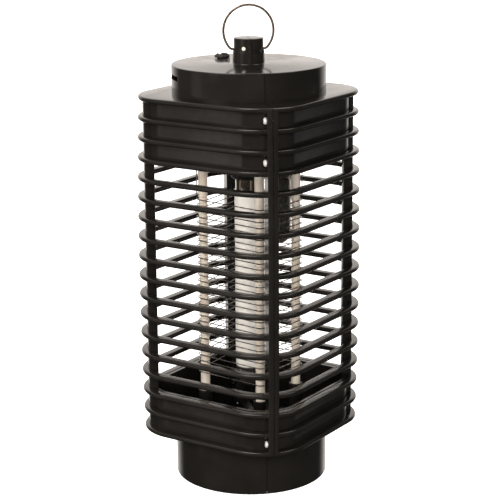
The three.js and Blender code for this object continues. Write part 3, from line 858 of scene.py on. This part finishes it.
def make_lamp_holder(lamp_top):
    skirt = GLASS_HIGH.x + TOUCH_GAP
    profile = [
        (3 * MM, PLATE_TOP + 5 * MM), (3 * MM, lamp_top + 3 * MM), (skirt, lamp_top + 3 * MM),
        (skirt, lamp_top - 3 * MM), (9.8 * MM, lamp_top - 3 * MM), (10.4 * MM, lamp_top - 2.4 * MM),
        (10.4 * MM, PLATE_BOTTOM - 1.6 * MM), (10.1 * MM, PLATE_BOTTOM - TOUCH_GAP),
        (7 * MM, PLATE_BOTTOM - TOUCH_GAP), (7 * MM, PLATE_TOP + 4.6 * MM), (6.6 * MM, PLATE_TOP + 5 * MM),
    ]
    make_turned("lamp_holder", profile, 64, "black_inner_plastic", INNER)
    low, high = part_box("lamp_contact")
    contact = [(0, low.z), (1.2 * MM, low.z), (1.8 * MM, low.z + 0.6 * MM)]
    contact += [(1.8 * MM, high.z - 0.3 * MM), (1.5 * MM, high.z), (0, high.z)]
    make_turned("lamp_contact", contact, 24, "nickel", NICKEL)


def make_starter():
    low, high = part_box("starter_can")
    x, y = (low.x + high.x) / 2, (low.y + high.y) / 2
    radius = high.x - x
    can = [(0, low.z), (2.2 * MM, low.z + 0.2 * MM), (3.6 * MM, low.z + MM), (5.2 * MM, low.z + 2.8 * MM)]
    can += [(5.8 * MM, low.z + 4.6 * MM), (radius, low.z + 6.4 * MM), (radius, high.z - 2.4 * MM)]
    can += [(radius - 0.3 * MM, high.z - 2 * MM), (radius - 0.3 * MM, high.z - 1.4 * MM)]
    can += [(radius, high.z - MM), (radius, high.z), (0, high.z)]
    make_turned("starter_can", can, 48, "starter_aluminium", ALUMINIUM, x, y)
    low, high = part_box("starter_holder")
    shoulder = PLATE_BOTTOM - TOUCH_GAP
    holder = [(0, low.z), (radius - 0.3 * MM, low.z), (radius, low.z + 0.4 * MM)]
    holder += [(radius, shoulder - 0.3 * MM), (radius - 0.4 * MM, shoulder), (4 * MM, shoulder)]
    holder += [(4 * MM, high.z - 0.4 * MM), (3.6 * MM, high.z), (0, high.z)]
    make_turned("starter_holder", holder, 48, "black_inner_plastic", INNER, x, y)


def post_profile(bottom, top):
    """An insulating post with a fine notch for every turn of wire."""
    radius, notch = GRID_POST_RADIUS, 0.32 * MM
    profile = [(0, bottom), (radius, bottom)]
    z = 62 * MM
    while z < GRID_TOP + 2 * MM:
        profile += [
            (radius, z), (radius - notch, z + 0.35 * MM),
            (radius - notch, z + 0.95 * MM), (radius, z + 1.3 * MM),
        ]
        z += GRID_SPACING / 2
    profile += [(radius, top - 0.3 * MM), (radius - 0.3 * MM, top), (0, top)]
    return profile


def make_grid_posts():
    for name, angle in GRID_POSTS.items():
        node = f"{name}_grid_post"
        low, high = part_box(node)
        profile = post_profile(low.z, high.z)
        make_turned(node, profile, 28, "ivory_insulator", IVORY, *around(angle, GRID_POST_OFFSET))


# --- Grid base and tray ---------------------------------------------------------------------


def make_grid_base():
    low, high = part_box("grid_base")
    bottom, top = low.z, low.z + 2.2 * MM

    def arm(bm, turn):
        add_block(bm, 100 * MM, 5 * MM, bottom, top, turn=turn, round_edge=0.8 * MM)

    def columns(bm):
        radius, foot = 4 * MM, 5.2 * MM
        for angle in GRID_POSTS.values():
            x, y = around(angle, GRID_POST_OFFSET)
            profile = [(0, bottom + MM / 5), (foot, bottom + MM / 5), (foot, top)]
            profile += [(radius + 0.3 * MM, top + 1.1 * MM), (radius, top + 2.4 * MM)]
            profile += fillet(radius, high.z, 0.5 * MM, 3) + [(0, high.z)]
            add_revolved(bm, profile, 32, x, y)

    def sockets(bm):
        drill = rod(GRID_POST_RADIUS + TOUCH_GAP, 48.7 * MM, high.z + MM)
        for angle in GRID_POSTS.values():
            add_revolved(bm, drill, 28, *around(angle, GRID_POST_OFFSET))

    base = object_from("grid_base_fine", lambda bm: arm(bm, CORNER))
    boolean(base, lambda bm: arm(bm, -CORNER), "UNION")
    boolean(base, columns, "UNION")
    boolean(base, sockets, "DIFFERENCE")
    finish_piece(base, "casing", INNER, ["grid_base"])


def make_tray():
    radius, top, bottom = TRAY_HIGH.x, TRAY_HIGH.z, TRAY_LOW.z
    wall, floor_z, edge = 1.6 * MM, 7 * MM, 0.4 * MM
    inside = radius - wall
    cup = [(0, floor_z), (inside - MM, floor_z), (inside - MM, bottom), (radius - edge, bottom)]
    cup += [(radius, bottom + edge), (radius, top - edge), (radius - edge, top)]
    cup += [(inside + edge, top), (inside, top - edge), (inside, floor_z + wall + MM)]
    cup += [(inside - MM, floor_z + wall), (0, floor_z + wall)]

    def grip(bm):
        low, high = bottom + 0.6 * MM, floor_z + 0.5 * MM
        add_block(bm, 2 * radius - 5 * MM, 4 * MM, low, high, round_edge=0.6 * MM)

    tray = object_from("collecting_tray_fine", lambda bm: add_revolved(bm, cup, 96))
    boolean(tray, grip, "UNION")
    finish_piece(tray, "tray", TRAY, ["collecting_tray"])


# --- Lamp plate, screws and inlet -----------------------------------------------------------


def make_lamp_plate():
    low, top = PLATE_BOTTOM, PLATE_TOP
    inset, edge = 8.8 * MM, 0.4 * MM
    profile = [(inset + edge, low), (inset, low + edge), (inset, top - edge), (inset + edge, top)]
    plate = object_from("lamp_plate_fine", lambda bm: add_square_plate(bm, profile))
    stand_top = PLATE_HIGH.z

    def standoffs(bm):
        stand = [(0, low + MM), (3.2 * MM, low + MM), (2.6 * MM, top + 1.2 * MM)]
        stand += [(2.6 * MM, stand_top), (0, stand_top)]
        for x, y in STANDOFF_PLACES:
            add_revolved(bm, stand, 32, x, y)

    def holes(bm):
        for x, y in STANDOFF_PLACES:
            add_revolved(bm, rod(SCREW_HOLE, stand_top - 6.7 * MM, stand_top + MM), 32, x, y)
        drill = [(SCREW_HOLE, around(quarter * math.pi / 2, PLATE_SCREW_REACH)) for quarter in range(4)]
        drill += [
            (GRID_POST_RADIUS + TOUCH_GAP, around(angle, GRID_POST_OFFSET))
            for angle in GRID_POSTS.values()
        ]
        drill += [(1.1 * MM, wire_place(first, -1)) for first in (5 * CORNER, CORNER)]
        drill += [(7.3 * MM, (0, 0)), (4.3 * MM, around(CORNER, STARTER_OFFSET))]
        for radius, (x, y) in drill:
            add_revolved(bm, rod(radius, low - MM, top + MM), 32, x, y)

    boolean(plate, standoffs, "UNION")
    boolean(plate, holes, "DIFFERENCE")
    finish_piece(plate, "casing", INNER, ["lamp_plate"])


def screw_mesh(head_radius, head_height, length, radius):
    """A cross-recessed pan head whose seat is at z = 0 and whose shank hangs below it."""
    crown = 0.7 * head_height
    profile = [(0, -length), (radius - 0.3 * MM, -length), (radius, -length + 0.5 * MM)]
    z = -length + 0.9 * MM
    while z < -1.2 * MM:
        profile += [(radius, z), (radius - 0.2 * MM, z + 0.25 * MM), (radius, z + 0.5 * MM)]
        z += 0.7 * MM
    profile += [(radius, 0), (head_radius, 0)]
    profile += [
        (head_radius * math.cos(a), head_height - crown + crown * math.sin(a))
        for a in quarter_angles(6)[:-1]
    ]
    profile.append((0, head_height))
    length, width = 1.2 * head_radius, 0.22 * head_radius
    low, high = 0.35 * head_height, 2 * head_height
    head = object_from("screw", lambda bm: add_revolved(bm, profile, 32))
    for turn in (0, math.pi / 2):
        boolean(head, lambda bm: add_block(bm, length, width, low, high, turn=turn), "DIFFERENCE")
    mesh = head.data
    bpy.data.objects.remove(head)
    return mesh


def place_screw(node, mesh, matrix):
    screw = new_object(f"{node}_fine", mesh.copy())
    screw.data.transform(matrix)
    finish_piece(screw, "casing", SCREW_STEEL, [node], 40)


def make_screws():
    seam = screw_mesh(SCREW_HEAD_RADIUS, 1.4 * MM, POST_WIDTH, SCREW_RADIUS)
    seat = -POST_WIDTH / 2 - TOUCH_GAP
    for end, side in (("front", 1), ("back", -1)):
        for index, z in enumerate(SCREW_HEIGHTS):
            matrix = (
                Matrix.Rotation(-CORNER, 4, "Z")
                @ Matrix.Translation((side * SCREW_REACH, seat, z))
                @ Matrix.Rotation(math.pi / 2, 4, "X")
                @ Matrix.Rotation(0.4 + index, 4, "Z")
            )
            place_screw(f"{end}_seam_screw_{index + 1}", seam, matrix)
    plate = screw_mesh(2.3 * MM, 1.5 * MM, 9 * MM, SCREW_RADIUS)
    for quarter in range(4):
        x, y = around(quarter * math.pi / 2, PLATE_SCREW_REACH)
        matrix = (
            Matrix.Translation((x, y, PLATE_BOTTOM - TOUCH_GAP))
            @ Matrix.Rotation(math.pi, 4, "X")
            @ Matrix.Rotation(0.5 * quarter, 4, "Z")
        )
        place_screw(f"plate_screw_{quarter + 1}", plate, matrix)
    board = screw_mesh(1.9 * MM, 1.4 * MM, 6.3 * MM, SCREW_RADIUS)
    for index in (1, 2):
        low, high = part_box(f"board_screw_{index}")
        place = ((low.x + high.x) / 2, (low.y + high.y) / 2, high.z - 1.4 * MM)
        place_screw(f"board_screw_{index}", board, Matrix.Translation(place))


def make_inlet():
    x, y = inlet_place()
    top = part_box("cord_inlet_bush")[1].z
    rest, hole, shank, collar = CAP_TOP + TOUCH_GAP, 2 * MM, 2.9 * MM, 4.4 * MM
    low = CAP_TOP - 3.6 * MM
    profile = [(hole, low), (shank, low), (shank, rest), (collar, rest), (collar, rest + 0.6 * MM)]
    profile += [(collar - 0.4 * MM, rest + 1.1 * MM), (collar - 0.9 * MM, top - 0.4 * MM)]
    profile += [(collar - 1.3 * MM, top)]
    profile += [(hole + 0.3 * MM, top), (hole, top - 0.3 * MM)]

    def notch(bm):
        reach, turn = math.hypot(x, y), math.atan2(y, x)
        add_block(bm, 12 * MM, 2.6 * MM, top - 1.1 * MM, top + MM, x=reach, turn=turn)

    bush = object_from("cord_inlet_bush_fine", lambda bm: add_revolved(bm, profile, 48, x, y))
    boolean(bush, notch, "DIFFERENCE")
    finish_piece(bush, "casing", RUBBER, ["cord_inlet_bush"])


# --- Electronics ----------------------------------------------------------------------------


def make_board():
    low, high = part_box("circuit_board")

    def holes(bm):
        for x, y in STANDOFF_PLACES:
            add_revolved(bm, rod(SCREW_HOLE, low.z - MM, high.z + MM), 24, x, y)

    width, depth = high.x - low.x, high.y - low.y
    board = object_from(
        "circuit_board_fine", lambda bm: add_block(bm, width, depth, low.z, high.z, round_edge=1.5 * MM)
    )
    boolean(board, holes, "DIFFERENCE")
    finish_piece(board, "casing", BOARD, ["circuit_board"])


def add_cushion(bm, low, high, edge, steps=3):
    """A box with all its edges rounded."""
    middle, half = (low + high) / 2, (high - low) / 2
    angles = quarter_angles(steps)
    levels = [(edge - edge * math.sin(a), low.z + edge - edge * math.cos(a)) for a in angles]
    levels += [(edge - edge * math.cos(a), high.z - edge + edge * math.sin(a)) for a in angles]
    loops = []
    for inset, z in levels:
        radius = edge * 1.2 - inset * 0.9
        outline = rounded_outline(half.x - inset, half.y - inset, radius, steps)
        loops.append([bm.verts.new((middle.x + x, middle.y + y, z)) for x, y in outline])
    loft(bm, loops)


def make_components():
    boxes = [
        ("ballast_capacitor", "yellow_capacitor", YELLOW, 0.8),
        ("cord_terminal_block", "black_component", COMPONENT, 0.5),
    ]
    boxes += [(f"multiplier_capacitor_{i}", "red_capacitor", RED, 1.6) for i in range(1, 5)]
    for node, slot, look, edge in boxes:
        low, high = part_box(node)
        make_piece(
            f"{node}_fine", lambda bm: add_cushion(bm, low, high, edge * MM),
            "casing", look, [node],
        )
    make_axial_parts()
    make_terminal_screws()


def make_terminal_screws():
    low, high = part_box("cord_terminal_block")
    head = screw_mesh(1.6 * MM, 0.9 * MM, 2 * MM, 0.9 * MM)
    for index, share in enumerate((0.28, 0.72)):
        y = low.y + share * (high.y - low.y)
        screw = new_object(f"terminal_clamp_screw_{index + 1}", head.copy())
        screw.data.transform(Matrix.Translation(((low.x + high.x) / 2, y, high.z - 0.3 * MM)))
        finish_piece(screw, "casing", SCREW_STEEL, (), 40)


def make_axial_parts():
    parts = [(f"rectifier_diode_{i}", "black_component", COMPONENT, 0.05) for i in range(1, 5)]
    parts += [(name, "tan_resistor", TAN, 0.25) for name in ("bleed_resistor", "series_resistor")]
    for node, slot, look, waist in parts:
        low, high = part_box(node)
        middle, size = (low + high) / 2, high - low
        along_x = size.x > size.y
        length, radius = (size.x, size.y / 2) if along_x else (size.y, size.x / 2)
        edge, dip = 0.3 * radius, waist * radius
        profile = [(0, -length / 2), (radius - edge, -length / 2), (radius, -length / 2 + edge)]
        profile += [(radius, -0.3 * length), (radius - dip, -0.22 * length)]
        profile += [(r, -z) for r, z in reversed(profile)]
        lay = Matrix.Rotation(math.pi / 2, 4, "Y") if along_x else Matrix.Rotation(math.pi / 2, 4, "X")
        body = mesh_from(f"{node}_fine", lambda bm: add_revolved(bm, profile, 32))
        body.transform(Matrix.Translation(middle) @ lay)
        finish_piece(new_object(f"{node}_fine", body), "casing", look, [node])
        make_leads(node, middle, length, along_x)


def make_leads(node, middle, length, along_x):
    """The two bent wires that run from a part's ends down into the board."""
    board_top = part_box("circuit_board")[1].z
    for side in (-1, 1):
        direction = Vector((side, 0, 0)) if along_x else Vector((0, side, 0))
        start = middle + direction * (length / 2 - 0.2 * MM)
        knee = middle + direction * (length / 2 + 1.1 * MM)
        foot = Vector((knee.x, knee.y, board_top - 0.2 * MM))
        path = rounded_path([start, knee, foot], 0.7 * MM)
        end = "a" if side < 0 else "b"
        make_piece(
            f"{node}_lead_{end}", lambda bm: add_tube(bm, path, 0.3 * MM, 8),
            "casing", GRID_STEEL,
        )


# --- Camera, light and floor ----------------------------------------------------------------

CAMERA_DISTANCE = 0.912
CAMERA_HEIGHT = 0.3625
CAMERA_AZIMUTH = math.radians(-56.5)
CAMERA_PITCH = math.radians(14.163)
CAMERA_ROLL = math.radians(-0.402)
CAMERA_LENS = 118.0


def make_camera():
    data = bpy.data.cameras.new("camera")
    data.lens = CAMERA_LENS
    data.sensor_width = 36
    data.clip_start, data.clip_end = 0.05, 20
    camera = bpy.data.objects.new("camera", data)
    SCENE.collection.objects.link(camera)
    camera.location = (
        CAMERA_DISTANCE * math.cos(CAMERA_AZIMUTH),
        CAMERA_DISTANCE * math.sin(CAMERA_AZIMUTH),
        CAMERA_HEIGHT,
    )
    look_turn = CAMERA_AZIMUTH + math.pi / 2
    rotation = (
        Matrix.Rotation(look_turn, 4, "Z")
        @ Matrix.Rotation(math.pi / 2 - CAMERA_PITCH, 4, "X")
        @ Matrix.Rotation(CAMERA_ROLL, 4, "Z")
    )
    camera.rotation_euler = rotation.to_euler()
    SCENE.camera = camera


def view_direction(angle, elevation=0.0):
    """A direction at this angle right of straight away from the camera, seen from above."""
    turn = CAMERA_AZIMUTH + math.pi - math.radians(angle)
    rise = math.radians(elevation)
    return Vector((
        math.cos(turn) * math.cos(rise), math.sin(turn) * math.cos(rise), math.sin(rise),
    ))


def make_area_light(name, angle, elevation, distance, width, height, power, colour=(1, 1, 1)):
    data = bpy.data.lights.new(name, "AREA")
    data.shape = "RECTANGLE"
    data.size, data.size_y = width, height
    data.energy = power
    data.color = colour
    light = bpy.data.objects.new(name, data)
    SCENE.collection.objects.link(light)
    target = Vector((0, 0, 130 * MM))
    direction = view_direction(angle, elevation)
    light.location = target + direction * distance
    light.rotation_euler = direction.to_track_quat("Z", "Y").to_euler()
    return light


def make_floor():
    """A pale round floor that the lens sees as white and the glossy casing doesn't mirror."""
    mesh = bpy.data.meshes.new("floor")
    bm = bmesh.new()
    bmesh.ops.create_circle(bm, cap_ends=True, radius=6, segments=96)
    bm.to_mesh(mesh)
    bm.free()
    floor = new_object("floor", mesh)
    floor.location.z = -0.2 * MM
    look = Look("floor_look")
    look.link("Base Color", look.colours(look.noise(3), (0.86, 0.86, 0.86), (0.9, 0.9, 0.9)))
    look.set(Roughness=0.6, Emission_Color=(1, 1, 1, 1), Emission_Strength=1.0)
    mesh.materials.append(look.material)
    floor.visible_glossy = False
    floor.visible_diffuse = False


class Room:
    """The studio round the lantern, as brightness by direction."""

    def __init__(self, world):
        self.nodes, self.links = world.node_tree.nodes, world.node_tree.links
        self.direction = self.nodes.new("ShaderNodeTexCoord").outputs["Generated"]

    def math(self, operation, first, second):
        node = self.nodes.new("ShaderNodeMath")
        node.operation = operation
        for socket, value in zip(node.inputs, (first, second)):
            if isinstance(value, (int, float)):
                socket.default_value = value
            else:
                self.links.new(value, socket)
        return node.outputs["Value"]

    def patch(self, angle, elevation, reach, core, strength):
        """A soft round patch of light, bright within core degrees and dark beyond reach degrees."""
        dot = self.nodes.new("ShaderNodeVectorMath")
        dot.operation = "DOT_PRODUCT"
        dot.inputs[1].default_value = view_direction(angle, elevation)
        self.links.new(self.direction, dot.inputs[0])
        fade = self.nodes.new("ShaderNodeMapRange")
        fade.interpolation_type = "SMOOTHSTEP"
        fade.inputs["From Min"].default_value = math.cos(math.radians(reach))
        fade.inputs["From Max"].default_value = math.cos(math.radians(core))
        fade.inputs["To Min"].default_value = 0.0
        fade.inputs["To Max"].default_value = strength
        self.links.new(dot.outputs["Value"], fade.inputs["Value"])
        return fade.outputs["Result"]


# angle to the right of straight away from the camera, elevation, reach, core, strength
PATCHES = (
    (0, 8, 58, 22, 1.25),
    (-113, -14, 7, 1, 0.9),
    (68, -14, 8, 1, 0.3),
    (-97, -10, 15, 3, 0.3),
    (-128, 20, 24, 8, 0.6),
    (-112, 68, 20, 8, 6.0),
    (68, 66, 20, 8, 4.0),
    (-60, 60, 50, 10, 0.4),
)
DIM_ROOM = 0.035
WARM = (1.0, 0.93, 0.87, 1)
WHITE = (1, 1, 1, 1)


def make_world():
    world = bpy.data.worlds.new("world")
    SCENE.world = world
    world.use_nodes = True
    room = Room(world)
    total = DIM_ROOM
    for patch in PATCHES:
        total = room.math("ADD", total, room.patch(*patch))
    seen = room.nodes.new("ShaderNodeLightPath").outputs["Is Camera Ray"]
    colour = room.nodes.new("ShaderNodeMix")
    colour.data_type = "RGBA"
    colour.inputs["A"].default_value = WARM
    colour.inputs["B"].default_value = WHITE
    room.links.new(seen, colour.inputs["Factor"])
    background = room.nodes["Background"]
    room.links.new(colour.outputs["Result"], background.inputs["Color"])
    lens = room.math("ADD", seen, room.math("MULTIPLY", total, room.math("SUBTRACT", 1, seen)))
    room.links.new(lens, background.inputs["Strength"])


def make_lights():
    warm = WARM[:3]
    for name, angle, elevation, power in (("front_fill", 172, 14, 19), ("left_fill", -118, 20, 15)):
        fill = make_area_light(name, angle, elevation, 1.2, 0.7, 0.7, power, warm)
        fill.visible_glossy = False


make_camera()
make_world()
make_floor()
make_lights()
make_shells()
make_finial_pin()
make_hanging_ring()
make_inlet()
make_screws()
make_lamp_plate()
make_lamp()
make_starter()
make_grid_posts()
make_grid_wires()
make_grid_base()
make_tray()
make_board()
make_components()

SCENE.view_settings.view_transform = "Standard"
